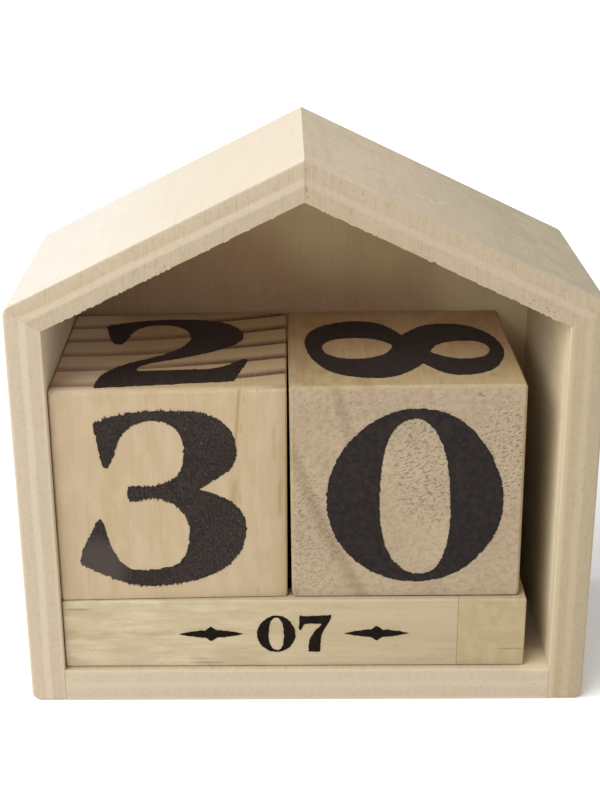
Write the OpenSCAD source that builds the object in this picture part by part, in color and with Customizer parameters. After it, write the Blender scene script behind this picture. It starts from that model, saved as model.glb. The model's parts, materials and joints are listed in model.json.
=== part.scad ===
// Perpetual desk calendar.
// A gabled plywood case holds two number cubes, which stand side by side on three month bars.
// The front faces -Y. The case stands on z = 0, with its middle at x = 0, y = 0.

/* [Number cubes] */
// Side of a number cube
cube_side = 45; // [36:0.5:60]
// Space between the two cubes
cube_gap = 0.5; // [0.4:0.1:3]
// Least distance of the tens cube's front face behind the front of the case
cube_recess = 1.6; // [0.2:0.1:8]
// How far the units cube stands behind the tens cube
units_setback = 1.1; // [0:0.1:2]
// Bare border above and below a numeral on a cube
numeral_margin = 3.8; // [3:0.1:8]

/* [Month bars] */
// Side of a month bar's square section
bar_side = 15; // [11:0.5:20]
// Length of a month bar past the outer side of the units cube
bar_past_cubes = 1.8; // [0:0.1:4]
// Space between neighbouring bars
bar_gap = 0.2; // [0.1:0.1:1]
// Distance of the front bar's face behind the front of the case
bar_recess = 1.3; // [0.2:0.1:6]
// Length of the block that is glued to the right end of the front bar
end_block_l = 13.5; // [6:0.5:24]
// Bare border above and below the month numbers
month_margin = 3.3; // [2:0.1:4]

/* [Case] */
// Thickness of the plywood boards
board_t = 7; // [4:0.5:12]
// Thickness of the back panel
back_t = 3; // [2:0.5:6]
// Pitch of the roof, in degrees
roof_pitch = 26; // [15:1:40]
// Free height between the cubes and the inner eaves
headroom = 12; // [5:0.5:30]
// Free width for a fingertip beside the units cube
finger_gap = 6.7; // [4.5:0.1:16]
// Play between the left wall and the cubes and bars
side_play = 0.1; // [0.1:0.1:2]
// Play between the back panel and what stands in front of it
rear_play = 0.7; // [0.3:0.1:4]
// Radius of the two lower outside edges
foot_radius = 1.8; // [0.5:0.1:3.5]
// Radius of the two eaves
eave_radius = 2.2; // [0.5:0.1:3.5]

/* [Edges and ink] */
// Radius of the eased edges of cubes and bars
edge_ease = 0.4; // [0.2:0.1:0.7]
// Thickness of the printed ink
ink_t = 0.06; // [0.04:0.01:0.1]
// Play under the cubes, so that ink never rubs through ink
rest_play = 0.02; // [0.02:0.01:0.2]
// Length of the ornament on each side of a month number
rule_l = 13; // [6:0.1:20]
// Greatest thickness of that ornament's swelled line
rule_t = 1.8; // [0.6:0.1:3]
// Length of the lozenge in the middle of the ornament
lozenge_l = 4.6; // [1:0.1:6]
// Height of the lozenge
lozenge_h = 3.4; // [1:0.1:6]
// Space between a month number and its ornaments
rule_gap = 2.6; // [1:0.1:6]
// Space between the two figures of a month number
figure_gap = 0.7; // [0.3:0.1:2]

/* [Hidden] */
$fn = 64;

// A printed cube or bar with the ink on two opposite faces
printed_cube = cube_side + 2 * ink_t;
printed_bar = bar_side + 2 * ink_t;
bar_count = 3;
bar_pitch = printed_bar + bar_gap;
bar_l = 2 * cube_side + 2 * ink_t + cube_gap + bar_past_cubes;

// The case is as wide and deep as what it holds
inner_w = side_play + 2 * printed_cube + cube_gap + finger_gap;
case_w = inner_w + 2 * board_t;
cubes_depth = cube_recess + units_setback + cube_side + ink_t;
bars_depth = bar_recess + bar_count * bar_pitch - bar_gap - ink_t;
inner_d = max(cubes_depth, bars_depth) + rear_play;
case_d = inner_d + back_t;
front_y = -case_d / 2;

// Heights, from the base board up
bars_z = board_t + ink_t;
cubes_z = bars_z + bar_side + ink_t + rest_play + ink_t;
inner_eave_z = cubes_z + cube_side + ink_t + headroom;
inner_ridge_z = inner_eave_z + inner_w / 2 * tan(roof_pitch);
ridge_z = inner_ridge_z + board_t / cos(roof_pitch);
eave_z = ridge_z - case_w / 2 * tan(roof_pitch);

// Left faces of the cubes and bars, and the cubes' front faces, with the units cube pushed back in the case
tens_x = -inner_w / 2 + side_play + ink_t;
units_x = tens_x + printed_cube + cube_gap;
units_y = front_y + inner_d - rear_play - ink_t - cube_side;
tens_y = units_y - units_setback;

numeral_h = cube_side - 2 * numeral_margin;
figure_h = bar_side - 2 * month_margin;

// Turns that take a flat print, facing up, to the sides of a block
FRONT = [90, 0, 0];
TOP = [0, 0, 0];
RIGHT = [90, 0, 90];
BACK = [90, 0, 180];
LEFT = [90, 0, -90];
BOTTOM = [180, 0, 0];

// Prints on the cubes: side, figure, size against the common height, shift on the figures' grid and
// tilt in degrees. They were set by hand, so each sits a little off the middle of its side.
TENS_PRINTS = [
    [FRONT, 3, 0.99, [-5.6, -1.3], 0.3],
    [TOP, 2, 1.04, [-0.8, -2.9], 4.4],
    [RIGHT, 1, 1, [2.1, 1.1], -1],
    [BACK, 4, 1, [-1.3, 0.8], 1],
    [LEFT, 0, 1, [1.6, -1.3], 0],
    [BOTTOM, 5, 1, [1.1, 1.6], -2]
];
UNITS_PRINTS = [
    [FRONT, 0, 1, [4, -1.9], 1.2],
    [TOP, 8, 1.05, [1.6, -2.9], -89],
    [RIGHT, 1, 1, [-1.1, 0.5], 1],
    [BACK, 6, 1, [1.3, -1.1], 0],
    [LEFT, 2, 1.04, [0.5, 1.1], -1],
    [BOTTOM, 7, 1, [-1.6, 1.3], 2]
];
// Months on the front, top, back and bottom of each bar
MONTH_SIDES = [FRONT, TOP, BACK, BOTTOM];
FRONT_MONTHS = [7, 8, 5, 6];
MIDDLE_MONTHS = [1, 2, 3, 4];
REAR_MONTHS = [9, 10, 11, 12];

// The figures 0 to 8 are drawn on a grid that is 100 units tall, with x = 0 in their middle.
// Each is a list of closed outlines, and an outline inside another is a hole.
// A point [x, y] pulls a smooth curve towards itself, and a point [x, y, 1] is a sharp corner.
FIGURES = [
    [
        [[46, 64], [23, 98], [-14, 101], [-44, 72], [-47, 32], [-22, 2], [18, -1], [46, 28]],
        [[18, 72], [8, 94], [-7, 94], [-17, 76], [-19, 28], [-8, 6], [10, 4], [19, 26]]
    ],
    [
        [
            [12, 100, 1], [12, 14], [16, 7], [32, 6, 1], [32, 0, 1], [-32, 0, 1], [-32, 6, 1],
            [-16, 7], [-12, 14], [-12, 66], [-16, 76], [-34, 76, 1], [-34, 82, 1], [-14, 84],
            [-4, 100, 1]
        ]
    ],
    [
        [
            [-35, 94, 1], [-23, 100], [6, 102], [31, 93], [39, 73], [34, 55], [11, 41], [-6, 35],
            [-17, 30], [-19, 24], [-17, 22, 1], [18, 21, 1], [23, 22], [30, 28], [38, 36], [37, 28],
            [29, 2, 1], [-39, 1, 1], [-39, 15], [-26, 33], [-6, 43], [7, 57], [11, 73], [5, 89],
            [-9, 95], [-20, 86], [-24, 70], [-26, 63], [-31, 64], [-34, 80]
        ]
    ],
    [
        [
            [-33, 94, 1], [-18, 100], [8, 100], [26, 99], [40, 88], [41, 70], [32, 62], [20, 55, 1],
            [36, 51], [46, 37], [43, 18], [30, 5], [8, -1], [-20, -2], [-44, 13, 1], [-44, 18],
            [-37, 31], [-34, 39], [-30, 38], [-28, 24], [-20, 8], [-4, 8], [11, 11], [16, 31],
            [11, 45], [-3, 52], [-13, 49], [-17, 49], [-17, 58], [-13, 58], [-1, 57], [12, 64],
            [14, 82], [8, 93], [-5, 96], [-19, 89], [-25, 69], [-29, 68], [-31, 80]
        ]
    ],
    [
        [
            [22, 100, 1], [22, 32, 1], [42, 32, 1], [42, 25, 1], [22, 25, 1], [22, 12], [26, 6],
            [38, 5, 1], [38, 0, 1], [-16, 0, 1], [-16, 5, 1], [-4, 6], [0, 12], [0, 25, 1],
            [-44, 25, 1], [-44, 33, 1], [8, 100, 1]
        ],
        [[0, 80, 1], [0, 32, 1], [-36, 32, 1]]
    ],
    [
        [
            [-27, 100, 1], [-6, 96], [10, 96], [34, 101, 1], [33, 84], [16, 79], [-6, 79],
            [-21, 83, 1], [-22, 60, 1], [-8, 68], [24, 69], [42, 54], [44, 22], [30, 2], [2, -1],
            [-22, -1], [-42, 14, 1], [-43, 22], [-38, 34], [-33, 40], [-28, 36], [-26, 22],
            [-18, 6], [-2, 6], [14, 10], [17, 34], [13, 56], [0, 62], [-16, 58], [-23, 47, 1],
            [-29, 47, 1]
        ]
    ],
    [
        [
            [33, 95, 1], [20, 100], [-2, 101], [-28, 92], [-44, 66], [-46, 30], [-30, 3], [2, -2],
            [34, 2], [46, 24], [44, 50], [26, 64], [2, 65], [-18, 55], [-20, 52, 1], [-20, 74],
            [-8, 93], [6, 95], [18, 88], [22, 72], [25, 66], [29, 66], [31, 76]
        ],
        [[18, 44], [10, 60], [-6, 60], [-17, 46], [-18, 18], [-8, 3], [8, 3], [18, 18]]
    ],
    [
        [
            [-35, 100, 1], [-30, 97], [0, 97], [40, 100, 1], [40, 90], [22, 62], [14, 36],
            [14, 0, 1], [-15, 0, 1], [-15, 26], [-4, 52], [18, 76, 1], [-8, 78], [-24, 76],
            [-30, 66], [-31, 60, 1], [-37, 60, 1]
        ]
    ],
    [
        [
            [-19, 51, 1], [-40, 44], [-45, 24], [-32, 3], [-4, -1], [24, 5], [40, 16], [45, 38],
            [36, 50], [24, 58, 1], [40, 66], [42, 80], [34, 93], [9, 102], [-19, 98], [-36, 86],
            [-37, 66], [-28, 57]
        ],
        [
            [-4, 45, 1], [-12, 41], [-17, 27], [-14, 13], [-4, 8], [9, 10], [17, 21], [14, 36],
            [4, 44]
        ],
        [[7, 63, 1], [-3, 66], [-9, 75], [-9, 90], [4, 95], [16, 90], [19, 78], [14, 68]]
    ]
];
GRID_H = 100;
SIX = 6;
NINE = 9;
// Chords along each curve of an outline
LARGE_STEPS = 6;
SMALL_STEPS = 3;
// How far a cutting outline runs past the board that it cuts
SPARE = 10;

// ---- Outlines ----

function xy(p) = [p[0], p[1]];
function is_corner(p) = len(p) > 2;
function curve_end(p, next) = is_corner(next) ? xy(next) : (xy(p) + xy(next)) / 2;
function curve_at(a, b, c, t) = (1 - t) * (1 - t) * a + 2 * t * (1 - t) * b + t * t * c;

// The points of one closed outline, with its curves cut into chords
function outline(loop, steps) = [
    for (i = [0 : len(loop) - 1])
        let (
            p = loop[i],
            before = loop[(i + len(loop) - 1) % len(loop)],
            after = loop[(i + 1) % len(loop)],
            start = curve_end(p, before),
            finish = curve_end(p, after),
            first = is_corner(before) ? 1 : 0
        )
        each is_corner(p)
            ? [xy(p)]
            : [for (k = [first : steps - 1]) curve_at(start, xy(p), finish, k / steps)]
];

// A nine is a six turned upside down
function turned(p) = is_corner(p) ? [-p[0], GRID_H - p[1], 1] : [-p[0], GRID_H - p[1]];
function figure_loops(n) = n == NINE ? [for (loop = FIGURES[SIX]) [for (p = loop) turned(p)]] : FIGURES[n];

// Left and right ends of a figure on its grid
function figure_left(n) = min([for (p = figure_loops(n)[0]) p[0]]);
function figure_right(n) = max([for (p = figure_loops(n)[0]) p[0]]);
function figure_width(n) = figure_right(n) - figure_left(n);

// How many points the outlines before number i hold together
function lengths_before(lists, i) = i == 0 ? 0 : len(lists[i - 1]) + lengths_before(lists, i - 1);

// A figure of height h, centred on its own grid
module figure(n, h, steps) {
    loops = [for (loop = figure_loops(n)) outline(loop, steps)];
    middle = [0, GRID_H / 2];
    points = [for (loop = loops) for (p = loop) (p - middle) * h / GRID_H];
    paths = [
        for (i = [0 : len(loops) - 1])
            [for (k = [0 : len(loops[i]) - 1]) lengths_before(loops, i) + k]
    ];
    polygon(points, paths);
}

// Tangent length and centre distance of a corner's arc, from half the corner's angle
function unit(v) = v / norm(v);
function half_angle(p, a, b) = acos(unit(a - p) * unit(b - p)) / 2;
function tangent_points(p, a, b, r) =
    let (reach = r / tan(half_angle(p, a, b)))
    [p + unit(a - p) * reach, p + unit(b - p) * reach];
function arc_centre(p, a, b, r) = p + unit(unit(a - p) + unit(b - p)) * r / sin(half_angle(p, a, b));

// A convex outline with an arc of its own radius at each corner, or none where the radius is 0
module rounded_outline(corners, radii) {
    count = len(corners);
    polygon([
        for (i = [0 : count - 1])
            let (before = corners[(i + count - 1) % count], after = corners[(i + 1) % count])
            each radii[i] > 0 ? tangent_points(corners[i], before, after, radii[i]) : [corners[i]]
    ]);
    for (i = [0 : count - 1]) {
        if (radii[i] > 0) {
            before = corners[(i + count - 1) % count];
            after = corners[(i + 1) % count];
            translate(arc_centre(corners[i], before, after, radii[i])) circle(radii[i]);
        }
    }
}

// ---- Case ----

// Corners of the case's mitred eaves, on the left
inner_eave = [-inner_w / 2, inner_eave_z];
outer_eave = [-case_w / 2, eave_z];
// A point on the mitre's line, past the outside of the case
past_eave = outer_eave + unit(outer_eave - inner_eave) * SPARE;

module case_outline() {
    rounded_outline(
        [[-case_w / 2, 0], [case_w / 2, 0], [case_w / 2, eave_z], [0, ridge_z], outer_eave],
        [foot_radius, foot_radius, eave_radius, 0, eave_radius]
    );
}

// An outline in x and z, run from the case's front to its back
module along_depth(depth) {
    translate([0, front_y + depth, 0]) rotate([90, 0, 0]) linear_extrude(depth) children();
}

module wall() {
    along_depth(case_d) intersection() {
        case_outline();
        polygon([
            [-case_w, -SPARE], [-inner_w / 2, -SPARE], inner_eave, past_eave, [-case_w, past_eave[1]]
        ]);
    }
}

module roof_board() {
    along_depth(case_d) intersection() {
        case_outline();
        polygon([
            inner_eave, [0, inner_ridge_z], [0, ridge_z + SPARE], [past_eave[0], ridge_z + SPARE],
            past_eave
        ]);
    }
}

module base_board() {
    color("BurlyWood") translate([-inner_w / 2, front_y, 0]) cube([inner_w, case_d, board_t]);
}

module left_wall() {
    color("Wheat") wall();
}

module right_wall() {
    color("Wheat") mirror([1, 0, 0]) wall();
}

module left_roof_board() {
    color("AntiqueWhite") roof_board();
}

module right_roof_board() {
    color("Tan") mirror([1, 0, 0]) roof_board();
}

// The back panel fills the case between the boards, flush with their rear edges
module back_panel() {
    color("Peru") translate([0, inner_d, 0]) along_depth(back_t) polygon([
        [-inner_w / 2, board_t], [inner_w / 2, board_t], [inner_w / 2, inner_eave_z],
        [0, inner_ridge_z], inner_eave
    ]);
}

// ---- Cubes ----

module eased_rectangle(w, h) {
    rounded_outline([[0, 0], [w, 0], [w, h], [0, h]], [edge_ease, edge_ease, edge_ease, edge_ease]);
}

// A block with its edges eased, from its lowest corner
module eased_block(size) {
    intersection() {
        linear_extrude(size[2]) eased_rectangle(size[0], size[1]);
        translate([0, size[1], 0]) rotate([90, 0, 0]) linear_extrude(size[1])
            eased_rectangle(size[0], size[2]);
        rotate([90, 0, 90]) linear_extrude(size[0]) eased_rectangle(size[1], size[2]);
    }
}

module place_tens() {
    translate([tens_x, tens_y, cubes_z]) children();
}

module place_units() {
    translate([units_x, units_y, cubes_z]) children();
}

module number_cube() {
    eased_block([cube_side, cube_side, cube_side]);
}

module cube_prints(prints) {
    half = cube_side / 2;
    translate([half, half, half]) for (row = prints) {
        shift = row[3] * numeral_h / GRID_H;
        rotate(row[0]) translate([shift[0], shift[1], half]) rotate(row[4])
            linear_extrude(ink_t) figure(row[1], numeral_h * row[2], LARGE_STEPS);
    }
}

module tens_cube() {
    color("Tan") place_tens() number_cube();
}

module tens_numerals() {
    color("DimGray") place_tens() cube_prints(TENS_PRINTS);
}

module units_cube() {
    color("DarkKhaki") place_units() number_cube();
}

module units_numerals() {
    color("DimGray") place_units() cube_prints(UNITS_PRINTS);
}

// ---- Month bars ----

module place_bar(row) {
    translate([tens_x, front_y + bar_recess + row * bar_pitch, bars_z]) children();
}

module month_bar() {
    eased_block([bar_l, bar_side, bar_side]);
}

// Only the part of a bar between two places along it
module bar_stretch(from, to) {
    intersection() {
        month_bar();
        translate([from, -SPARE, -SPARE]) cube([to - from, bar_side + 2 * SPARE, bar_side + 2 * SPARE]);
    }
}

// A line that swells towards its middle, with a lozenge on it
module ornament() {
    half = rule_l / 2;
    swell = [[-half, 0, 1], [0, rule_t], [half, 0, 1], [0, -rule_t]];
    union() {
        polygon(outline(swell, LARGE_STEPS));
        polygon([[-lozenge_l / 2, 0], [0, lozenge_h / 2], [lozenge_l / 2, 0], [0, -lozenge_h / 2]]);
    }
}

// A month as two figures between two ornaments, centred
module month_number(month) {
    tens = floor(month / 10);
    units = month % 10;
    size = figure_h / GRID_H;
    tens_w = figure_width(tens) * size;
    units_w = figure_width(units) * size;
    half_w = (tens_w + figure_gap + units_w) / 2;
    translate([-half_w - figure_left(tens) * size, 0]) figure(tens, figure_h, SMALL_STEPS);
    translate([half_w - figure_right(units) * size, 0]) figure(units, figure_h, SMALL_STEPS);
    for (side = [-1, 1]) {
        translate([side * (half_w + rule_gap + rule_l / 2), 0]) ornament();
    }
}

module bar_prints(months) {
    half = bar_side / 2;
    translate([bar_l / 2, half, half]) for (i = [0 : len(MONTH_SIDES) - 1]) {
        rotate(MONTH_SIDES[i]) translate([0, 0, half]) linear_extrude(ink_t) month_number(months[i]);
    }
}

module front_month_bar() {
    color("Tan") place_bar(0) bar_stretch(-SPARE, bar_l - end_block_l);
}

module front_bar_end_block() {
    color("Khaki") place_bar(0) bar_stretch(bar_l - end_block_l, bar_l + SPARE);
}

module front_month_numbers() {
    color("DimGray") place_bar(0) bar_prints(FRONT_MONTHS);
}

module middle_month_bar() {
    color("Tan") place_bar(1) month_bar();
}

module middle_month_numbers() {
    color("DimGray") place_bar(1) bar_prints(MIDDLE_MONTHS);
}

module rear_month_bar() {
    color("Tan") place_bar(2) month_bar();
}

module rear_month_numbers() {
    color("DimGray") place_bar(2) bar_prints(REAR_MONTHS);
}

base_board();
left_wall();
right_wall();
left_roof_board();
right_roof_board();
back_panel();
tens_cube();
tens_numerals();
units_cube();
units_numerals();
front_month_bar();
front_bar_end_block();
front_month_numbers();
middle_month_bar();
middle_month_numbers();
rear_month_bar();
rear_month_numbers();
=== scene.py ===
# %% [markdown]
# # A perpetual desk calendar, in plywood and pine
# The calendar is a small gabled case, open at the front. Two number cubes stand in it on three month bars,
# and all of them slide out to be turned. The joinery and every size come from a model that is loaded first.
# This lesson then makes the pieces as they leave the workshop: sawn, sanded, printed and a little uneven.
#
# The first cell loads that model.

# %% Load the model
import json
from math import acos, cos, pi, radians, sin, tan

import bmesh
import bpy
from mathutils import Matrix, Vector, noise

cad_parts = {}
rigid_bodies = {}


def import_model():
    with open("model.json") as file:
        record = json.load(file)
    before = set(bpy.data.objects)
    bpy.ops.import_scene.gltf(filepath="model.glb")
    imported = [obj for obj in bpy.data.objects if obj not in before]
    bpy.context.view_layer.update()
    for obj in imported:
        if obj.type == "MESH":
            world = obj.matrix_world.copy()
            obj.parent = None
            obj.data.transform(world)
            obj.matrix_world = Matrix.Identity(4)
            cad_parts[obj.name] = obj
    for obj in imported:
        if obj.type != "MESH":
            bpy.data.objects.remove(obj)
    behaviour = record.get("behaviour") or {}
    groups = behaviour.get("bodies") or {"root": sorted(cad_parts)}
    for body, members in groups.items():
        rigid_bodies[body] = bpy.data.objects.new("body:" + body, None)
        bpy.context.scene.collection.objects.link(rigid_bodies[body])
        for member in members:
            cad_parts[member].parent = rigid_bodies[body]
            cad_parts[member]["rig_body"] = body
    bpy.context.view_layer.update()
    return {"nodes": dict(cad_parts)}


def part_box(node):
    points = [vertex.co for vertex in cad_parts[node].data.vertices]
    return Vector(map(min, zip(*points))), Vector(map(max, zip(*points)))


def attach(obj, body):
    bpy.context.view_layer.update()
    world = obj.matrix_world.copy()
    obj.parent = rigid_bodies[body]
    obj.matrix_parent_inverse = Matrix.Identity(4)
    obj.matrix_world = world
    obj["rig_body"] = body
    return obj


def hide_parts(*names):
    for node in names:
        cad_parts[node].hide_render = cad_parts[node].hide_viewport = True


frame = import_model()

MM = 0.001

# %% [markdown]
# ## Measures of the case
# Nothing is measured twice. The boards' thickness, the inner and outer width and the two ridge heights are
# read from the boxes of the model's own boards, and the roof's pitch follows: a board of thickness t that
# leans by an angle lifts the ridge by t / cos(angle). Only the two roundings aren't in any box, so they are
# written here.

# %% Read the case's measures
base_low, base_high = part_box("base_board")
wall_low, wall_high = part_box("left_wall")
panel_low, panel_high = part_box("back_panel")
ridge_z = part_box("right_roof_board")[1].z

board_t = base_high.z - base_low.z
inner_x, outer_x = base_high.x, -wall_low.x
front_y, rear_y = wall_low.y, wall_high.y
panel_y = panel_low.y
inner_ridge_z = panel_high.z
pitch = acos(board_t / (ridge_z - inner_ridge_z))
inner_eave_z = inner_ridge_z - inner_x * tan(pitch)
eave_z = ridge_z - outer_x * tan(pitch)

FOOT_RADIUS = 1.8 * MM
EAVE_RADIUS = 2.2 * MM
print(f"boards {board_t / MM:.1f} mm, roof pitch {pitch * 180 / pi:.1f} degrees")

# %% [markdown]
# ## Working in edit mode
# Blender's modelling operators act on whatever is selected. Loading the model left its nodes selected, so
# each step first takes one object alone. Inside edit mode, faces and edges are then picked by a test on
# their place or direction, which is what a modeller's eye and mouse do.

# %% Helpers for edit mode
def take(obj, mode="OBJECT"):
    """Leaves every other object alone: obj is the one that is active and selected."""
    if bpy.context.object and bpy.context.object.mode != "OBJECT":
        bpy.ops.object.mode_set(mode="OBJECT")
    bpy.ops.object.select_all(action="DESELECT")
    obj.select_set(True)
    bpy.context.view_layer.objects.active = obj
    bpy.ops.object.mode_set(mode=mode)
    return obj


def pick(obj, kind, test):
    """Selects the VERT, EDGE or FACE elements that pass the test, in edit mode, and returns how many."""
    bpy.ops.mesh.select_mode(type=kind)
    bpy.ops.mesh.select_all(action="DESELECT")
    mesh = bmesh.from_edit_mesh(obj.data)
    elements = {"VERT": mesh.verts, "EDGE": mesh.edges, "FACE": mesh.faces}[kind]
    found = [e for e in elements if test(e)]
    for e in found:
        e.select_set(True)
    bmesh.update_edit_mesh(obj.data)
    return len(found)


def twin(obj, name):
    """A copy of obj with its own mesh."""
    take(obj)
    bpy.ops.object.duplicate()
    copy = bpy.context.object
    copy.name = copy.data.name = name
    return copy


def apply(obj, kind, **settings):
    """Adds a modifier with these settings and applies it."""
    take(obj)
    modifier = obj.modifiers.new(kind.title(), kind)
    for name, value in settings.items():
        setattr(modifier, name, value)
    bpy.ops.object.modifier_apply(modifier=modifier.name)


def block(name, low, high):
    """A cube primitive that fills the box from low to high, with its place in its mesh."""
    bpy.ops.object.select_all(action="DESELECT")
    bpy.ops.mesh.primitive_cube_add(size=1, location=(low + high) / 2, scale=high - low)
    obj = bpy.context.object
    obj.name = obj.data.name = name
    bpy.ops.object.transform_apply(location=True, rotation=True, scale=True)
    return obj


def runs_along(edge, axis):
    """Whether an edge runs along an axis: 0, 1 or 2 for x, y or z."""
    return abs((edge.verts[1].co - edge.verts[0].co).normalized()[axis]) > PARALLEL


def middle(edge):
    """The point halfway along an edge."""
    return (edge.verts[0].co + edge.verts[1].co) / 2


NEAR = 1e-5  # metres: points this close are in one place
PARALLEL = 0.9  # a unit vector's part along an axis that it runs along
ALONG_X, ALONG_Y, ALONG_Z = 0, 1, 2

# %% [markdown]
# ## The case, sawn from one house-shaped block
# The real case is five boards with mitred joints, and the joints only close if all boards agree about their
# corners. Modelling five boards one by one invites small errors. Here one house-shaped block is shaped from
# a cube: the top is split and its middle lifted to the ridge, and the four outer corners get their roundings.
# Each board is then a copy of that block, cut by the planes that a saw would follow. So the roundings at the
# eaves run on from wall to roof without a step.

# %% Shape the house block
house = block("house", Vector((-outer_x, front_y, 0)), Vector((outer_x, rear_y, eave_z)))
take(house, "EDIT")
pick(house, "EDGE", lambda e: runs_along(e, ALONG_X) and middle(e).z > eave_z - NEAR)
bpy.ops.mesh.subdivide(number_cuts=1)
pick(house, "VERT", lambda v: abs(v.co.x) < NEAR and v.co.z > eave_z - NEAR)
bpy.ops.transform.translate(value=(0, 0, ridge_z - eave_z))

CORNER_STEPS = 12
half_eave_angle = (radians(90) + pitch) / 2  # half of the angle between wall and roof
for height, offset in ((0, FOOT_RADIUS), (eave_z, EAVE_RADIUS / tan(half_eave_angle))):
    pick(house, "EDGE", lambda e: runs_along(e, ALONG_Y) and abs(middle(e).z - height) < NEAR)
    bpy.ops.mesh.bevel(offset=offset, segments=CORNER_STEPS, affect="EDGES")
take(house)
print("house block:", len(house.data.polygons), "faces")

# %% [markdown]
# ## Five boards and a back panel
# A saw cut is a bisect: everything on one side of a plane goes, and the cut is closed. The plane through the
# inner and outer corner of an eave is the mitre that wall and roof board share, so the same plane is used
# twice with its normal turned round. The ridge is mitred on the plane x = 0.

# %% Saw the boards
LEFT, RIGHT = -1, 1
UP, DOWN = Vector((0, 0, 1)), Vector((0, 0, -1))


def saw(obj, point, normal):
    """Cuts obj along a plane, keeps what lies behind it, and closes the cut."""
    take(obj, "EDIT")
    bpy.ops.mesh.select_all(action="SELECT")
    bpy.ops.mesh.bisect(plane_co=point, plane_no=normal, use_fill=True, clear_outer=True)
    bpy.ops.mesh.select_all(action="SELECT")
    bpy.ops.mesh.remove_doubles(threshold=NEAR / 10)
    bpy.ops.mesh.normals_make_consistent(inside=False)
    return take(obj)


def inner_eave(side):
    """The inner corner between wall and roof."""
    return Vector((side * inner_x, 0, inner_eave_z))


def mitre_normal(side):
    """The eave mitre's normal, on its roof side."""
    outward = Vector((side * outer_x, 0, eave_z)) - inner_eave(side)
    return Vector((-side * outward.z, 0, side * outward.x)).normalized()


def roof_normal(side):
    """Straight out of a roof board's outer face."""
    return Vector((side * sin(pitch), 0, cos(pitch)))


def sawn_wall(name, side):
    wall = saw(twin(house, name), (side * inner_x, 0, 0), (-side, 0, 0))
    return saw(wall, inner_eave(side), mitre_normal(side))


def sawn_roof(name, side):
    board = saw(twin(house, name), (0, 0, 0), (-side, 0, 0))
    board = saw(board, inner_eave(side), -mitre_normal(side))
    return saw(board, (0, 0, inner_ridge_z), -roof_normal(side))


def sawn_base(name):
    base = saw(twin(house, name), (inner_x, 0, 0), (1, 0, 0))
    base = saw(base, (-inner_x, 0, 0), (-1, 0, 0))
    return saw(base, (0, 0, board_t), UP)


def sawn_panel(name):
    panel = saw(twin(house, name), (0, panel_y, 0), (0, -1, 0))
    panel = saw(panel, (0, 0, board_t), DOWN)
    for side in (LEFT, RIGHT):
        panel = saw(panel, (side * inner_x, 0, 0), (side, 0, 0))
        panel = saw(panel, (0, 0, inner_ridge_z), roof_normal(side))
    return panel


boards = {
    "base_board": sawn_base("plywood_base"),
    "left_wall": sawn_wall("plywood_wall_left", LEFT),
    "right_wall": sawn_wall("plywood_wall_right", RIGHT),
    "left_roof_board": sawn_roof("plywood_roof_left", LEFT),
    "right_roof_board": sawn_roof("plywood_roof_right", RIGHT),
    "back_panel": sawn_panel("plywood_back_panel"),
}
bpy.data.objects.remove(house)
for node, board in boards.items():
    print(f"{board.name}: {len(board.data.polygons)} faces for {node}")

# %% [markdown]
# ## Sanded arrises and tight joints
# An arris is the sharp line where two faces meet. Sandpaper takes about four tenths of a millimetre off it.
# Glued edges are different: they were sharp when they met, and only a hairline is left. One Bevel modifier
# does both, because each edge carries its own weight.

# %% Weigh the edges of a board
ARRIS, ARRIS_STEPS = 0.42 * MM, 3
RIDGE_GAP, MITRE_GAP, BUTT_GAP, RAGGED_SHARE = 0.06, 0.2, 0.05, 0.35  # of an arris
SHARP = radians(30)
CHIP_STEP = 0.35 * MM  # how finely a chipped edge is divided


def openness(edge):
    """The share of an arris that an edge keeps: little where boards are glued together."""
    def all_near(measure):
        return all(abs(measure(v.co)) < NEAR for v in edge.verts)

    side = LEFT if middle(edge).x < 0 else RIGHT
    on_chipped_edge = middle(edge).y < front_y + NEAR and edge.calc_length() < CHIP_STEP * 2
    if on_chipped_edge and abs((middle(edge) - inner_eave(side)).dot(roof_normal(side))) < ARRIS:
        return RAGGED_SHARE
    if all_near(lambda co: co.x):
        return RIDGE_GAP
    if all_near(lambda co: (co - inner_eave(side)).dot(mitre_normal(side))):
        return MITRE_GAP
    if all_near(lambda co: abs(co.x) - inner_x) and middle(edge).z < board_t + NEAR:
        return BUTT_GAP
    return 1


def bevel_by_share(obj, width, segments, share):
    """Bevels the sharp edges, each by the share of the width that share(edge) gives it."""
    take(obj, "EDIT")
    mesh = bmesh.from_edit_mesh(obj.data)
    weight = mesh.edges.layers.float.new("bevel_weight_edge")
    for edge in mesh.edges:
        if edge.calc_face_angle(0) > SHARP:
            edge[weight] = share(edge)
    bmesh.update_edit_mesh(obj.data)
    apply(obj, "BEVEL", limit_method="WEIGHT", width=width, segments=segments, use_clamp_overlap=False)


print(f"an arris is {ARRIS / MM:.2f} mm wide, {ARRIS * MITRE_GAP / MM:.2f} mm along a mitre")

# %% [markdown]
# ## Chips and a scored line
# A blunt saw tears small splinters out of a thin face ply. So the inner front edges of the roof boards are
# divided, and a noise moves the new points into the wood, before the bevel takes what is left of the arris.
# The walls are scored at the height of the base, so that one edge can be tight below it and eased above.

# %% Chip, score and ease the boards
CHIP_SIZE, CHIP_FROM = 0.8 * MM, 0.14
CHIP_FREE = 3 * MM  # whole wood next to the joints


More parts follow.
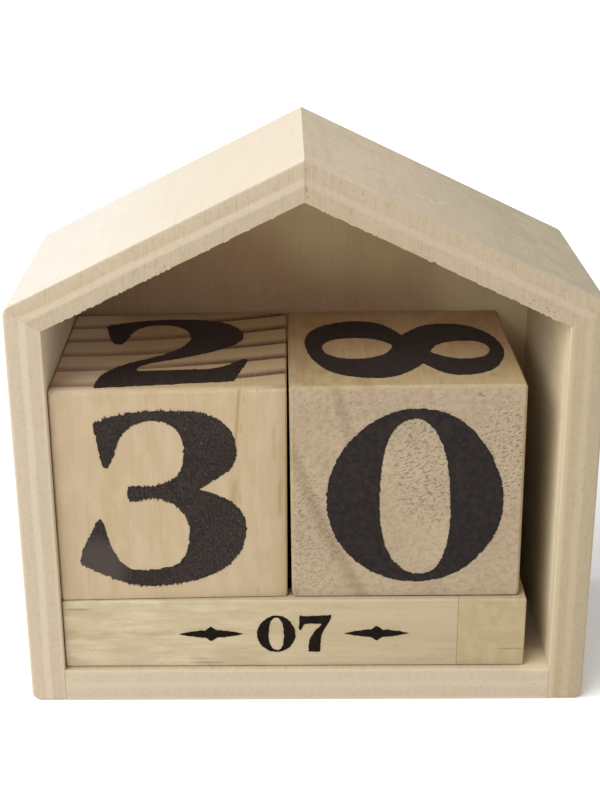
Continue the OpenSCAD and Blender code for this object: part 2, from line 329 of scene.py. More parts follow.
def chip(obj, inner_point, outward, depth):
    """Tears small chips out of a board's inner front arris. Outward leads from inner to outer face."""
    def on_arris(vert):
        return abs(vert.co.y - front_y) < NEAR and abs((vert.co - inner_point).dot(outward)) < NEAR

    take(obj, "EDIT")
    mesh = bmesh.from_edit_mesh(obj.data)
    for edge in [e for e in mesh.edges if all(on_arris(v) for v in e.verts)]:
        bmesh.ops.bisect_edges(mesh, edges=[edge], cuts=int(edge.calc_length() / CHIP_STEP))
    for vert in mesh.verts:
        if on_arris(vert) and CHIP_FREE < abs(vert.co.x) < inner_x - CHIP_FREE:
            torn = max(0, noise.noise(vert.co / CHIP_SIZE) - CHIP_FROM)
            vert.co += outward * depth * torn
    bmesh.update_edit_mesh(obj.data)
    take(obj)


def score(obj, point, normal):
    """Divides the faces of obj where a plane crosses them."""
    take(obj, "EDIT")
    bpy.ops.mesh.select_all(action="SELECT")
    bpy.ops.mesh.bisect(plane_co=point, plane_no=normal)
    take(obj)


for wall in ("left_wall", "right_wall"):
    score(boards[wall], (0, 0, board_t), UP)
for side, roof, depth in ((LEFT, "left_roof_board", 0.4 * MM), (RIGHT, "right_roof_board", 1.0 * MM)):
    chip(boards[roof], inner_eave(side), roof_normal(side), depth)
for node, board in boards.items():
    share = openness if node != "back_panel" else lambda edge: BUTT_GAP
    bevel_by_share(board, ARRIS, ARRIS_STEPS, share)
print("board faces after easing:", {n: len(b.data.polygons) for n, b in boards.items()})

# %% [markdown]
# ## Cubes and bars: blocks whose edges wander
# A cheap cube has been tumbled or rubbed with sandpaper, so its edges are a little round, and nowhere quite
# equally. A Bevel alone would look cast. So the block is first cut into small squares, then bevelled by
# weights, and last a Displace modifier with a cloudy texture presses the rounded edges in. The flat sides
# stay flat, because the ink lies on them.

# %% Divide a block and rub its edges
CELL = 1.6 * MM
ROUND_STEPS = 4
RUB_REACH = 1.2  # how far from an edge the rubbing goes, in radii
RIM_SHARE = 0.15  # how much of it reaches the flat sides
wear = bpy.data.textures.new("rubbing", "CLOUDS")
wear.noise_scale = 2.6 * MM
wear.noise_depth = 2


def divide(obj, cell):
    """Cuts a block into squares, one direction of edges at a time."""
    for axis in range(3):
        size = obj.dimensions[axis]
        take(obj, "EDIT")
        pick(obj, "EDGE", lambda e: runs_along(e, axis))
        bpy.ops.mesh.subdivide(number_cuts=max(1, round(size / cell) - 1))
    return take(obj)


def rub(obj, low, high, reach, depth):
    """Presses the rounded edges of a block in, here and there. Its flat sides only give way a little."""
    rounded, rim = [], []
    for vert in obj.data.vertices:
        from_side = sorted(min(vert.co[i] - low[i], high[i] - vert.co[i]) for i in range(3))
        if from_side[1] < reach and from_side[2] > NEAR:
            (rim if from_side[0] < NEAR else rounded).append(vert.index)
    group = obj.vertex_groups.new(name="edges")
    group.add(rounded, 1, "REPLACE")
    group.add(rim, RIM_SHARE, "REPLACE")
    apply(obj, "DISPLACE", texture=wear, texture_coords="LOCAL", direction="NORMAL", mid_level=1,
          strength=depth, vertex_group="edges")
    obj.vertex_groups.clear()


print(f"squares of {CELL / MM:.1f} mm, {ROUND_STEPS} steps round an edge")

# %% [markdown]
# ## Where fingers and the table have been
# Each block wears in its own way: the left cube is rounded where a finger pulls it out, the right cube at
# its feet, and the front bar hardly at all. A small function for each says what share of the radius an edge
# gets, from the place of its middle in the block's box.

# %% Shape the cubes and the bars
def rubbed_block(name, node, radius, depth, share):
    """A block in a node's box. Share tells how round an edge is, from its middle and the box."""
    low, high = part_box(node)
    obj = divide(block(name, low, high), CELL)
    bevel_by_share(obj, radius, ROUND_STEPS, lambda edge: share(middle(edge), low, high))
    rub(obj, low, high, radius * RUB_REACH, depth)
    print(f"{name}: {len(obj.data.polygons)} faces for {node}")
    return obj


def worn_on_top(point, low, high):
    """The left cube is rounder along its upper front edge, and crisp where it stands on the bar."""
    if point.y > low.y + NEAR:
        return 0.35
    if point.z < low.z + NEAR:
        return 0.12
    return 1 if point.z > high.z - NEAR else 0.35


def round_feet(point, low, high):
    """The right cube is crisp where it stands on the bar, but its lower corners are rounded off."""
    if point.z > low.z + NEAR:
        return 0.5
    return 0.15 if abs(point.y - low.y) < NEAR else 1


def cut_at_seam(point, low, high):
    """Edges round the glued seam between bar and end block are as good as sharp."""
    return 0.3 if abs(point.x - seam_x) < NEAR else 1


def evenly(point, low, high):
    """The other bars are as round everywhere."""
    return 1


seam_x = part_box("front_bar_end_block")[0].x
BLOCKS = [  # name, node, radius of its edges, depth of the rubbing (mm) and share
    ("pine_cube_tens", "tens_cube", 0.9, 0.22, worn_on_top),
    ("pine_cube_units", "units_cube", 1.0, 0.3, round_feet),
    ("pine_bar_front", "front_month_bar", 0.25, 0.12, cut_at_seam),
    ("pine_end_block", "front_bar_end_block", 0.25, 0.12, cut_at_seam),
    ("pine_bar_middle", "middle_month_bar", 0.3, 0.12, evenly),
    ("pine_bar_rear", "rear_month_bar", 0.3, 0.12, evenly),
]
woods = {}
for name, node, radius, depth, share in BLOCKS:
    woods[node] = rubbed_block(name, node, radius * MM, depth * MM, share)

# %% [markdown]
# ## Prints that bleed along the fibres
# Ink stamped on bare wood creeps out along the fibres, so an outline grows little spikes where it crosses
# them and stays crisp where it runs along them. Three helpers find the points of an outline and the way out
# from each, round it off as a stamp does that has printed for years, and give a noise that is long along the
# fibres and short across them.

# %% Helpers for an outline
FIBRE_WIDTH, FIBRE_LENGTH = 0.17 * MM, 2.4 * MM


def outline(mesh):
    """The points on the outline of flat faces, each with its way out in the plane of its face."""
    outward = {}
    for edge in mesh.edges:
        if edge.is_boundary:
            loop = edge.link_loops[0]
            along = loop.link_loop_next.vert.co - loop.vert.co
            for vert in edge.verts:
                outward[vert] = outward.get(vert, Vector()) + along.cross(loop.face.normal).normalized()
    return {vert: out.normalized() for vert, out in outward.items()}


def fibre_noise(point, fibre):
    """A noise from about -1 to 1 that is drawn out along one axis."""
    lengths = [FIBRE_LENGTH if i == fibre else FIBRE_WIDTH for i in range(3)]
    return noise.noise(Vector(point[i] / lengths[i] for i in range(3)))


def ease_outline(mesh, times):
    """Rounds the outline: each of its points goes halfway to the middle of its neighbours, so many times."""
    beside = {}
    for vert in mesh.verts:
        neighbours = [edge.other_vert(vert).co for edge in vert.link_edges if edge.is_boundary]
        if len(neighbours) == 2:
            beside[vert] = neighbours
    for _ in range(times):
        eased = {vert: (2 * vert.co + near[0] + near[1]) / 4 for vert, near in beside.items()}
        for vert, place in eased.items():
            vert.co = place


print(f"the fibres' noise is {FIBRE_WIDTH / MM:.2f} mm wide and {FIBRE_LENGTH / MM:.1f} mm long")

# %% [markdown]
# ## The numerals and the months
# The model's prints are clean solids. Only their outward faces are kept here and merged. Their outlines are
# divided finely and eased, and each point is pushed outwards by the noise. Solidify gives the film of ink its
# thickness back. The bars were printed with smaller type, so their outlines stay closer to it.

# %% Fray the prints
INK_T = frame["nodes"]["tens_numerals"].dimensions.y / 2 - frame["nodes"]["tens_cube"].dimensions.y / 2
OUTLINE_STEP = 0.08 * MM
BUMP_SIZES = 0.2 * MM, 0.45 * MM, 1.1 * MM
INWARD_SHARE = 0.3  # how long the spikes are that point to the middle of a side
CREEP_SIZE = 6 * MM  # how large the parts are where the ink crept more
CREEP_MEAN, CREEP_SWING = 0.75, 0.9
SPIKE_GAIN, SPIKE_SHIFT = 1.8, 0.1  # what makes single spikes of a noise round zero
FLAT = radians(0.5)


def frayed_prints(name, node, fibre, sides, spike, rough, easing):
    """Prints on the sides that face along the given axes, with spikes along the fibres' axis."""
    low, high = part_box(node)
    obj = bpy.data.objects.new(name, frame["nodes"][node].data.copy())
    bpy.context.scene.collection.objects.link(obj)
    obj.data.name = name
    take(obj, "EDIT")
    bpy.ops.mesh.select_all(action="SELECT")
    bpy.ops.mesh.remove_doubles(threshold=NEAR / 10)

    def is_cap(face):
        centre = face.calc_center_median()
        return any(min(centre[i] - low[i], high[i] - centre[i]) < NEAR for i in sides)

    pick(obj, "FACE", lambda f: not is_cap(f))
    bpy.ops.mesh.delete(type="FACE")
    bpy.ops.mesh.select_all(action="SELECT")
    bpy.ops.mesh.dissolve_limited(angle_limit=FLAT)
    mesh = bmesh.from_edit_mesh(obj.data)
    for edge in [e for e in mesh.edges if e.is_boundary]:
        cuts = int(edge.calc_length() / OUTLINE_STEP)
        if cuts:
            bmesh.ops.bisect_edges(mesh, edges=[edge], cuts=cuts)
    ease_outline(mesh, easing)
    for vert, out in outline(mesh).items():
        from_middle = vert.co[fibre] - (low[fibre] + high[fibre]) / 2
        creep = CREEP_MEAN + CREEP_SWING * noise.noise(vert.co / CREEP_SIZE)
        reach = creep * (1 if out[fibre] * from_middle > 0 else INWARD_SHARE)
        bleed = max(0, fibre_noise(vert.co, fibre) * SPIKE_GAIN + SPIKE_SHIFT) * reach
        vert.co += out * rough * sum(noise.noise(vert.co / size) for size in BUMP_SIZES)
        vert.co[fibre] += out[fibre] * spike * bleed
    bmesh.update_edit_mesh(obj.data)
    apply(obj, "SOLIDIFY", thickness=INK_T, offset=-1)
    print(f"{name}: {len(obj.data.polygons)} faces for {node}")
    return obj


ALL_SIDES, LONG_SIDES = (ALONG_X, ALONG_Y, ALONG_Z), (ALONG_Y, ALONG_Z)
PRINTS = [  # name, node, fibres, printed sides, longest spike, roughness (mm) and easing
    ("ink_tens", "tens_numerals", ALONG_Z, ALL_SIDES, 0.5, 0.17, 20),
    ("ink_units", "units_numerals", ALONG_Y, ALL_SIDES, 0.2, 0.14, 20),
    *((f"ink_months_{row}", f"{row}_month_numbers", ALONG_X, LONG_SIDES, 0.15, 0.07, 2)
      for row in ("front", "middle", "rear")),
]
prints = {}
for name, node, fibre, sides, spike, rough, easing in PRINTS:
    prints[node] = frayed_prints(name, node, fibre, sides, spike * MM, rough * MM, easing)

# %% [markdown]
# ## Cubes that aren't quite square
# Softwood shrinks unevenly as it dries, so the cubes lean by a few tenths of a millimetre: the gap between
# them closes towards the back and opens towards the bottom, and the left cube's front turns a little away. A
# lattice with a point at each corner is laid round each cube, its points are pushed by given amounts, and the
# block and the ink on it follow the same lattice, so that the ink stays on the wood.

# %% Lean the cubes
def lean(name, node, pushes, followers):
    """Pushes corners of a node's box by millimetres. The key says which end of x, y and z a corner is at."""
    low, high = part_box(node)
    bpy.ops.object.select_all(action="DESELECT")
    bpy.ops.object.add(type="LATTICE", location=(low + high) / 2)
    cage = bpy.context.object
    cage.name = name
    cage.scale = high - low
    for kind in ("u", "v", "w"):
        setattr(cage.data, f"points_{kind}", 2)
        setattr(cage.data, f"interpolation_type_{kind}", "KEY_LINEAR")
    for point in cage.data.points:
        corner = tuple(int(part > 0) for part in point.co)
        push = Vector(pushes.get(corner, (0, 0, 0))) * MM
        point.co_deform += Vector(push[i] / cage.scale[i] for i in range(3))
    bpy.context.view_layer.update()
    for obj in followers:
        apply(obj, "LATTICE", object=cage)
    bpy.data.objects.remove(cage)


LOW, HIGH = 0, 1
lean("tens_cage", "tens_cube", {
    (LOW, LOW, LOW): (0, 0.1, 0),
    (HIGH, LOW, LOW): (0, 1.3, 0),
    (LOW, LOW, HIGH): (0, -0.1, -0.3),
    (HIGH, LOW, HIGH): (0.15, 1.1, -0.3),
    (HIGH, HIGH, LOW): (0.1, 0, 0),
    (HIGH, HIGH, HIGH): (0.25, 0, 0),
}, (woods["tens_cube"], prints["tens_numerals"]))
lean("units_cage", "units_cube", {
    (LOW, LOW, LOW): (0.28, 0, 0),
    (LOW, LOW, HIGH): (-0.06, 0, -0.25),
    (HIGH, LOW, LOW): (0.4, 0, 0.1),
    (HIGH, LOW, HIGH): (0, 0, -0.1),
    (LOW, HIGH, LOW): (0.04, 0, 0),
    (LOW, HIGH, HIGH): (-0.3, 0, -0.15),
    (HIGH, HIGH, LOW): (0.4, 0, 0.1),
}, (woods["units_cube"], prints["units_numerals"]))
print("leaning:", woods["tens_cube"].name, woods["units_cube"].name)

# %% [markdown]
# ## A small language for shaders
# Wood is described by sums and products of patterns, which is dull to write node by node. A Wire stands for
# one output socket, and Python's own operators on it add Math nodes. A Shader is one tree of nodes, and its
# add method makes any other node. A tone of three numbers is one that a colour picker shows, and a tone of
# four is in the shader's own linear numbers.

# %% Define a wire and a shader
class Wire:
    """An output of a shader node. Operators on it add Math nodes."""

    def __init__(self, shader, socket):
        self.shader, self.socket = shader, socket

    def math(self, operation, first, second=0.0):
        return self.shader.add("Math", {"operation": operation}, {0: first, 1: second})

    def __add__(self, other):
        return self.math("ADD", self, other)

    def __sub__(self, other):
        return self.math("SUBTRACT", self, other)

    def __rsub__(self, other):
        return self.math("SUBTRACT", other, self)

    def __mul__(self, other):
        return self.math("MULTIPLY", self, other)

    def __truediv__(self, other):
        return self.math("DIVIDE", self, other)

    def __abs__(self):
        return self.math("ABSOLUTE", self)

    def fraction(self):
        """What is left of it without its whole number."""
        return self.math("FRACT", self)

    def larger(self, other):
        """The larger one of two."""
        return self.math("MAXIMUM", self, other)

    def step(self, low, high):
        """A smooth step: 0 below low and 1 above high, or the other way round where high is less."""
        if low > high:
            return 1 - self.step(high, low)
        return self.shader.add("MapRange", {"interpolation_type": "SMOOTHSTEP"},
                               {"Value": self, "From Min": low, "From Max": high})

    __radd__ = __add__


class Shader:
    """A node tree that is written in Python."""

    def __init__(self, tree):
        self.tree = tree

    def feed(self, socket, value):
        """Gives an input of a node its wire or its value."""
        if isinstance(value, Wire):
            self.tree.links.new(value.socket, socket)
        elif socket.type == "RGBA" and len(value) == 3:
            socket.default_value = linear(value)
        else:
            socket.default_value = value

    def add(self, kind, settings=None, inputs=None, output=0):
        """Adds a node: its settings first, then the wires or values of its inputs."""
        node = self.tree.nodes.new("ShaderNode" + kind)
        for name, value in (settings or {}).items():
            setattr(node, name, value)
        for name, value in (inputs or {}).items():
            self.feed(node.inputs[name], value)
        return Wire(self, node.outputs[output])


def linear(tone):
    """A colour in the shader's numbers, from the three that a colour picker shows."""
    return (*(((part / 255 + 0.055) / 1.055) ** 2.4 for part in tone), 1.0)


# %% [markdown]
# ## A material and its patterns
# A Finish is one material. It knows the place on a piece in millimetres, and adds clouds, spots, and coats of
# tone that are laid over one another. So a recipe for wood is a list that is read from the ground up.

# %% Define a finish
class Finish(Shader):
    """A material with one Principled shader. Its patterns lie in mm, the place on the piece."""

    def __init__(self, name, roughness, specular, origin=(0, 0, 0), turn=(0, 0, 0)):
        self.material = bpy.data.materials.new(name)
        self.material.use_nodes = True
        super().__init__(self.material.node_tree)
        self.give("Roughness", roughness)
        self.give("Specular IOR Level", specular)
        self.mm = self.place(origin, turn)

    def give(self, name, value):
        """Gives an input of the Principled shader its wire or its value."""
        self.feed(self.tree.nodes["Principled BSDF"].inputs[name], value)

    def place(self, origin=(0, 0, 0), turn=(0, 0, 0)):
        """Millimetres from origin on the piece, along axes turned by these angles."""
        return self.add("Mapping", {"vector_type": "TEXTURE"}, {
            "Vector": self.add("TexCoord", output="Object"),
            "Location": origin, "Rotation": turn, "Scale": (MM, MM, MM),
        })

    def vector_math(self, operation, vector, by=(0, 0, 0), output=0):
        """A Vector Math node."""
        return self.add("VectorMath", {"operation": operation}, {0: vector, 1: by}, output)

    def length(self, vector):
        """The distance from zero."""
        return self.vector_math("LENGTH", vector, output="Value")

    def axes(self, vector):
        """The three parts of a vector."""
        split = self.add("SeparateXYZ", inputs={0: vector}).socket.node
        return [Wire(self, output) for output in split.outputs]

    def turned(self, vector, turn):
        """The same place along axes that are turned by these angles."""
        return self.add("Mapping", {"vector_type": "TEXTURE"}, {"Vector": vector, "Rotation": turn})

    def facing(self, turn=(0, 0, 0)):
        """The parts of the surface's normal along turned axes, without their signs."""
        normal = self.add("NewGeometry", output="Normal")
        return [abs(part) for part in self.axes(self.turned(normal, turn))]

    def clouds(self, stretch, seed, detail=2.0, roughness=0.5, on=None):
        """A cloudy pattern from 0 to 1 with so many waves a millimetre along each axis."""
        return self.add("TexNoise", {"noise_dimensions": "4D"}, {
            "Vector": self.vector_math("MULTIPLY", on or self.mm, stretch), "W": seed, "Scale": 1.0,
            "Detail": detail, "Roughness": roughness,
        })

    def spot(self, middle, size):
        """1 in the middle of a spot and 0 outside it, with a soft rim. Its size is given for each axis."""
        from_middle = self.vector_math("DIVIDE", self.vector_math("SUBTRACT", self.mm, middle), size)
        return self.length(from_middle).step(1.0, 0.4)

    def blend(self, factor, first, second, kind="MIX"):
        """A tone between two others."""
        names = {0: factor, 6: first, 7: second}
        return self.add("Mix", {"data_type": "RGBA", "blend_type": kind}, names, output=2)

    def layered(self, ground, *coats):
        """Lays coats over a tone: each a factor and a tone, or a factor and how much darker and browner."""
        for factor, coat in coats:
            if isinstance(coat, float):
                shade = (1 - coat, 1 - 1.1 * coat, 1 - 1.3 * coat, 1)
                ground = self.blend(factor, ground, shade, "MULTIPLY")
            else:
                ground = self.blend(factor, ground, coat)
        return ground

    def patches(self, rows):
        """Coats that are spots. A row is a tone, a middle, a size and a strength."""
        return [(self.spot(middle, size) * strength, tone) for tone, middle, size, strength in rows]

    def done(self, tone, height, depth):
        """Gives the shader its colour, and a height from 0 to 1 with its depth in millimetres."""
        self.give("Base Color", tone)
        bump = {"Height": height, "Distance": depth * MM, "Strength": 1.0}
        self.give("Normal", self.add("Bump", inputs=bump))
        return self.material


# %% [markdown]
# ## Three-ply board
# The boards are three thick plies, and their front edges were sanded flush once the case was glued, with
# strokes straight up. So an edge shows a smooth, slightly brighter core between two plies, all under the same
# faint upright scratches. Pores and a little dirt sit in the right roof board's edge, most of it along the
# ridge's mitre. The broad faces show the grain of the outer plies, which runs from the front of the case to
# its back, and short pale nicks that handling left. The roof boards' sides that face into the case are
# painted paler than the wood, so that they throw more light into the shaded inside. A Mapping node lays each
# board flat: x along it, y from front to back and z through it from its inner face. Then one recipe suits
# all six boards, and only the tones differ.

# %% Mix the plywood
CORE_FROM, CORE_TO = 2.8, 4.15  # millimetres from the inner face
PLY_BLUR = 0.3
NICK_WAVES = 1.7, 0.45, 0.5
NICK_ANGLES = 0.4, 1.3, 2.5  # the ways that the nicks lie, in radians
NICK_FROM, NICK_TO = 0.64, 0.71
ARRIS_PALE_AND_LIT, NICK_TONE = (222, 208, 181), (222, 209, 186)


def plywood(name, origin, turn, seed, edge, face, run, arris=0.0, strokes=1.0, streaks=0.0, scars=0.0,
            blotches=0.7, scratched=None, patches=(), outside=None, inside=None):
    """
    Edge is three tones: inner ply, core and outer ply. Face is three as well: from the first to the second
    along a run (a direction, where it starts and where it ends, in millimetres), and one for the blotches.
    Arris says how strongly the front arrises show paler, as sanded wood with a painted highlight. Strokes,
    streaks, scars and blotches say how strongly those show. Scratched is a spot with more nicks: its middle
    and size. Patches are spots too, each a tone, a middle, a size and a strength: marks, and on some boards
    painted light and shade. Outside is two tones for the side that faces out of the case, and from which
    depth they hold. Inside is one tone for the side that faces into it.
    """
    finish = Finish(name, 0.75, 0.2, origin, turn)
    upright = finish.place()
    deep, through = finish.axes(finish.mm)[1:]
    from_front = deep - front_y / MM
    cut_end = finish.facing(turn)[1].step(0.5, 0.85)

    stroke = finish.clouds((4.4, 0.3, 0.18), seed, 3.0, 0.7, upright)
    where = finish.clouds((0.22, 0.2, 0.3), seed + 7, on=upright)
    mottle = finish.clouds((1.1, 0.5, 1.0), seed + 1, 3.0, 0.6, upright)
    dents = finish.clouds((1.6, 1.6, 1.0), seed + 8, 1.0, on=upright).step(0.72, 0.8)
    wavy = through + (finish.clouds((0.12, 0.1, 0.1), seed + 2) * 0.7 - 0.35)
    core = wavy.step(CORE_FROM - PLY_BLUR, CORE_FROM + PLY_BLUR) \
        * wavy.step(CORE_TO + PLY_BLUR, CORE_TO - PLY_BLUR)
    sanded = stroke.step(0.42, 0.68) * (0.35 + where.step(0.4, 0.6) * 0.65) * (1 - core * 0.7)
    inner_ply, core_ply, outer_ply = edge
    cut = finish.layered(
        inner_ply,
        (through.step(CORE_FROM, board_t / MM - 0.5), outer_ply),
        (core, core_ply),
        (sanded * strokes, 0.16),
        (mottle.step(0.45, 0.7), 0.07),
        (dents, 0.25))

    drift = finish.clouds((0.05, 0.03, 0.05), seed + 3) * 30 - 15
    fibre = finish.clouds((1.8, 0.06, 0.5), seed + 4, 3.0)
    blotch = finish.clouds((0.16, 0.13, 0.2), seed + 5, 4.0, 0.65)
    grit = finish.clouds((0.9, 0.7, 0.8), seed + 9, 4.0, 0.7)
    turned_places = [(angle, finish.turned(finish.mm, (0, 0, angle))) for angle in NICK_ANGLES]
    nicks = blotch.step(0.44, 0.52) * sum(
        finish.clouds(NICK_WAVES, seed + angle, 1.0, on=place).step(NICK_FROM, NICK_TO)
        for angle, place in turned_places)
    if scratched:
        nicks = nicks * (0.15 + finish.spot(*scratched))
    blotched = blotch.step(0.4, 0.62) * blotches
    direction, start, end = run
    along_run = finish.vector_math("DOT_PRODUCT", finish.mm, direction, "Value")
    coats = [((along_run + drift).step(start, end), face[1]), (blotched, face[2])]
    if outside:
        *tones, depth = outside
        coats.append((through.step(depth - 0.5, depth + 0.5), finish.blend(blotched, *tones)))
    # A paler inner face, painted so that it throws more light into the shaded inside of the case.
    if inside:
        coats.append((through.step(1.5, 1.0), inside))
    broad = finish.layered(
        face[0], *coats,
        (fibre.step(0.4, 0.75) * streaks, 0.2),
        (grit.step(0.45, 0.7) * scars, 0.1),
        (nicks * scars * 0.7, NICK_TONE))

    # Rim and lip are the front arrises, painted paler: sanded wood with a painted highlight.
    rim = (board_t / MM - through).step(0.9, 0.3) * from_front.step(0.9, 0.3)
    lip = through.step(0.8, 0.3) * from_front.step(0.8, 0.3)
    tone = finish.layered(
        broad, (cut_end, cut), ((rim + lip) * arris, ARRIS_PALE_AND_LIT), *finish.patches(patches))
    broad_relief = fibre * streaks + grit * scars * 0.5
    cut_relief = stroke * strokes * 0.5 - dents
    return finish.done(tone, broad_relief * (1 - cut_end) + cut_relief * cut_end, 0.06)


# %% [markdown]
# ## The boards' own marks
# Each board gets its tones and marks here, and some boards get painted light and shade as well. A mark on
# the front edge of the right roof board is a soft spot at a place along the board and through it. Those
# beside the ridge's mitre are counted as a rule lies there: upwards from the inner ridge, and aside of the
# joint.

# %% Mix a finish for each board
QUARTER = radians(90)
FRONT = -25.7  # the front edges in millimetres, as y
PORES = [(48.5, 1.35), (49.1, 0.9), (50.0, 1.15), (50.5, 0.6), (45.2, 0.7), (45.5, 1.5)]  # along and through
MITRE_DIRT = [  # above the inner ridge and aside of it, radius (mm) and strength
    (6.0, 0.4, 0.42, 0.25), (5.4, 0.5, 0.38, 0.2), (4.2, 0.25, 0.3, 0.25), (2.7, 0.26, 0.36, 0.4),
    (2.2, 0.3, 0.36, 0.45), (1.0, 0.5, 0.4, 0.3), *((0.7 + 0.5 * i, 0.08, 0.27, 0.3) for i in range(13)),
]


def on_right_edge(height, aside):
    """A place beside the ridge's mitre, along the right roof board and through it."""
    return aside * cos(pitch) - height * sin(pitch), aside * sin(pitch) + height * cos(pitch)


roof_marks = [((112, 94, 68), (at, FRONT, depth), (0.3, 1, 0.25), 0.45) for at, depth in PORES]
for height, aside, radius, strength in MITRE_DIRT:
    at, depth = on_right_edge(height, aside)
    roof_marks.append(((112, 88, 62), (at, FRONT, depth), (radius, 1, radius), strength))

ridge_point, base_point = (0, 0, inner_ridge_z), (0, 0, board_t)
LEFT_EDGE = (184, 170, 148), (199, 186, 164), (192, 177, 155)
RIGHT_EDGE = (181, 166, 144), (187, 173, 151), (184, 169, 147)
PALE_TO_THROW_LIGHT = 230, 216, 197
board_finishes = {
    "base_board": plywood(
        "ply_base", base_point, (0, 2 * QUARTER, 0), 3.0,
        edge=((196, 183, 161), (198, 187, 167), (193, 181, 163)),
        face=((190, 174, 150), (190, 174, 150), (184, 168, 140)),
        run=((1, 0, 0), -40, 40), arris=0.25, strokes=0.4, streaks=0.6, scars=0.3,
        # Painted light: a pale patch on the base's top between the front bar's end and the right wall,
        # towards the front.
        patches=[((224, 210, 172), (-46.5, -22, 0), (6, 6, 2), 0.7)]),
    "left_wall": plywood(
        "ply_wall_left", (-inner_x, 0, 0), (0, -QUARTER, 0), 17.0,
        edge=((190, 176, 155), (200, 188, 170), (195, 181, 161)),
        face=((214, 201, 180), (222, 209, 188), (216, 202, 178)),
        run=((1, 0, 0), 20, 80), arris=0.2, strokes=0.4, streaks=0.4, scars=0.3,
        outside=((208, 198, 182), (202, 191, 174), 6.0)),
    "right_wall": plywood(
        "ply_wall_right", (inner_x, 0, 0), (0, QUARTER, 0), 31.0,
        edge=((179, 164, 137), (184, 171, 147), (173, 160, 137)),
        # Painted light: the inner face turns pale from 52 mm up, where the roof shades it.
        face=((228, 214, 186), (254, 243, 190), (234, 220, 184)),
        run=((1, 0, 0), 52, 66), strokes=0.4, streaks=0.4, scars=0.3,
        # Painted shade on the inner front arris, where the bevel catches the light, and painted light, pale
        # and cool, on the lower rear of the inner face, in the shade beside the cubes.
        patches=[((197, 183, 158), (35, -26.5, 0), (200, 5, 1.6), 0.8),
                 ((240, 228, 226), (16, 16, 0), (32, 26, 4), 0.85)],
        outside=((224, 211, 190), (230, 216, 193), 6.0)),
    "left_roof_board": plywood(
        "ply_roof_left", ridge_point, (0, -pitch, 0), 47.0, LEFT_EDGE,
        # Painted highlight: the face is paler and greyer than the right roof's, most of all towards the eave,
        # for the washed-out look of the bright light on it.
        face=((200, 188, 168), (205, 199, 188), (201, 191, 176)),
        run=((-1, 0, 0), 5, 50), streaks=0.15, scars=0.15, blotches=0.4, inside=PALE_TO_THROW_LIGHT),
    "right_roof_board": plywood(
        "ply_roof_right", ridge_point, (0, pitch, 0), 61.0, RIGHT_EDGE,
        face=((209, 191, 167), (182, 168, 144), (196, 181, 155)),
        run=((1, 0, 0), 5, 50), streaks=0.25, scars=1.0, scratched=((18, -6, 7), (18, 11, 9)),
        patches=roof_marks, inside=PALE_TO_THROW_LIGHT),
    "back_panel": plywood(
        "ply_back", (0, rear_y, 0), (-QUARTER, 0, 0), 79.0, RIGHT_EDGE,
        # Painted shade and light: the panel is browner and darker towards the lower left, where roof and wall
        # shade it, and paler towards the upper right.
        face=((187, 159, 131), (212, 198, 160), (192, 171, 139)),
        run=((0.5, -1.3, 0), 95, 118), streaks=0.35, scars=0.1, blotches=0.25,
        # Painted light: a pale patch in the upper right corner, which is in shade.
        patches=[((236, 222, 182), (47, -74, -3.2), (24, 18, 3), 0.85)],
        outside=((206, 190, 164), (197, 178, 148), -1.5)),
}
print("board finishes:", len(board_finishes))

# %% [markdown]
# ## Pine, as a solid with growth rings
# A cube shows its wood from six sides at once, and the rings that cross its top are the same rings that run
# down its front. So pine is described as a solid, in millimetres from the block's lower left front corner.
# Rings are circles round a far-off pith, and each year darkens towards its end and stops sharply. Fibres are
# a noise drawn out along the tree's axis, and where the surface faces along that axis it is end grain.

# %% Start a pine finish
class Pine(Finish):
    """Solid pine of one block. Axis is the way that the tree grew: 0, 1 or 2 for x, y or z."""

    def __init__(self, name, node, axis, seed):
        super().__init__(name, 0.7, 0.2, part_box(node)[0])
        self.axis, self.seed = axis, seed
        self.end = self.facing()[axis].step(0.6, 0.9)
        self.side = 1 - self.end

    def drawn_out(self, across, along):
        """Waves a millimetre, across the fibres and along them."""
        return tuple(along if i == self.axis else across for i in range(3))

    def streaks(self, across, along, number, detail=3.0):
        """A noise that is drawn out along the fibres."""
        return self.clouds(self.drawn_out(across, along), self.seed + number, detail, 0.6)

    def years(self, pith, width, waver):
        """How far the wood is through its year, from 0 to 1. Waver is in millimetres."""
        from_pith = self.vector_math("SUBTRACT", self.mm, pith)
        radius = self.length(self.vector_math("MULTIPLY", from_pith, self.drawn_out(1, 0)))
        drift = self.clouds(self.drawn_out(0.05, 0.015), self.seed, 1.0) - 0.5
        return ((radius + drift * waver) / width).fraction()


# %% [markdown]
# ## The left cube: cut near the bark
# Its rings are wide and almost in line with its front, so the front is one calm sheet of early wood, and the
# top shows them as dark, slanting lines. A few short, soft streaks of resin run down it, most of them
# towards the right. Its right edge gets the resin's tone as a painted shade beside the gap to the right cube,
# and on the top's left part, where the roof's shade falls, painted light and shade make it paler and pinker
# towards the back.

# %% Mix the tens cube's pine
RESIN = 150, 124, 80
TENS_STREAKS = [  # x, lower end, upper end, lean, half width (mm) and strength
    (35.3, 31, 47, 0.06, 0.55, 0.6), (34.2, 18, 27, 0.1, 1.6, 0.45), (36.0, 19, 24, 0.0, 0.6, 0.45),
    (43.6, 16, 27, 0.02, 0.7, 0.5), (42.6, 28, 38, 0.0, 0.7, 0.3), (5.5, 2, 20, 0.05, 0.4, 0.2),
]


